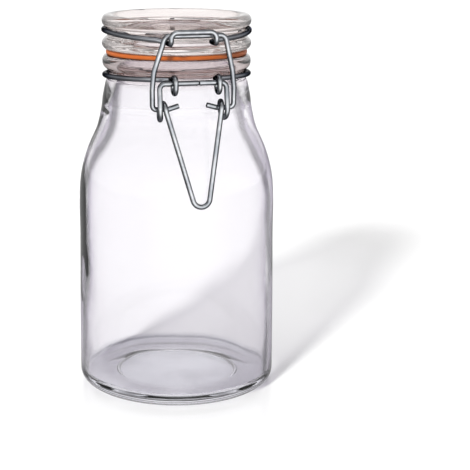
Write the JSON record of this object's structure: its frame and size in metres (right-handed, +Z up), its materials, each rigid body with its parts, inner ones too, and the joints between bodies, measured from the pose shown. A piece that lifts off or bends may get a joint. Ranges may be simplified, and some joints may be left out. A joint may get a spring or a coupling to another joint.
{
  "type": "clip top jar",
  "caption": "Tall round clear glass storage jar with a rounded shoulder, hinged glass lid, orange rubber seal and a sprung wire clip with a V-shaped lever.",
  "frame": {"origin": "centre of the jar's standing ring, on the surface it stands on", "axes": "+Z up the jar's axis, -Y towards the clip, +Y towards the lid's hinge, +X to the right seen from the clip"},
  "size_m": [0.0958, 0.0975, 0.1804],
  "materials": {
    "clear_glass": "clear moulded glass",
    "seal_rubber": "matt orange rubber",
    "plated_wire": "bright plated steel wire"
  },
  "bodies": {
    "jar": {"jar_body": "clear_glass", "neck_wire": "plated_wire"},
    "lid": {"lid_glass": "clear_glass", "gasket": "seal_rubber", "lid_wire": "plated_wire"},
    "lever": {"lever": "plated_wire"},
    "bail": {"bail": "plated_wire"}
  },
  "joints": [
    {"name": "lever_pivot", "type": "hinge", "parent": "jar", "child": "lever", "pos_m": [0, -0.0393, 0.1525], "axis": [-1, 0, 0], "range_deg": [0, 120]},
    {"name": "bail_pivot", "type": "hinge", "parent": "lever", "child": "bail", "pos_m": [-0.0018, -0.0386, 0.141], "axis": [-1, 0, 0], "range_deg": [-90, 0]},
    {"name": "lid_hinge", "type": "hinge", "parent": "jar", "child": "lid", "pos_m": [0, 0.0402, 0.157], "axis": [-1, 0, 0], "range_deg": [0, 110]}
  ],
  "couplings": [
    {"joint": "bail_pivot", "follows": "lever_pivot", "ratio": -0.73}
  ]
}
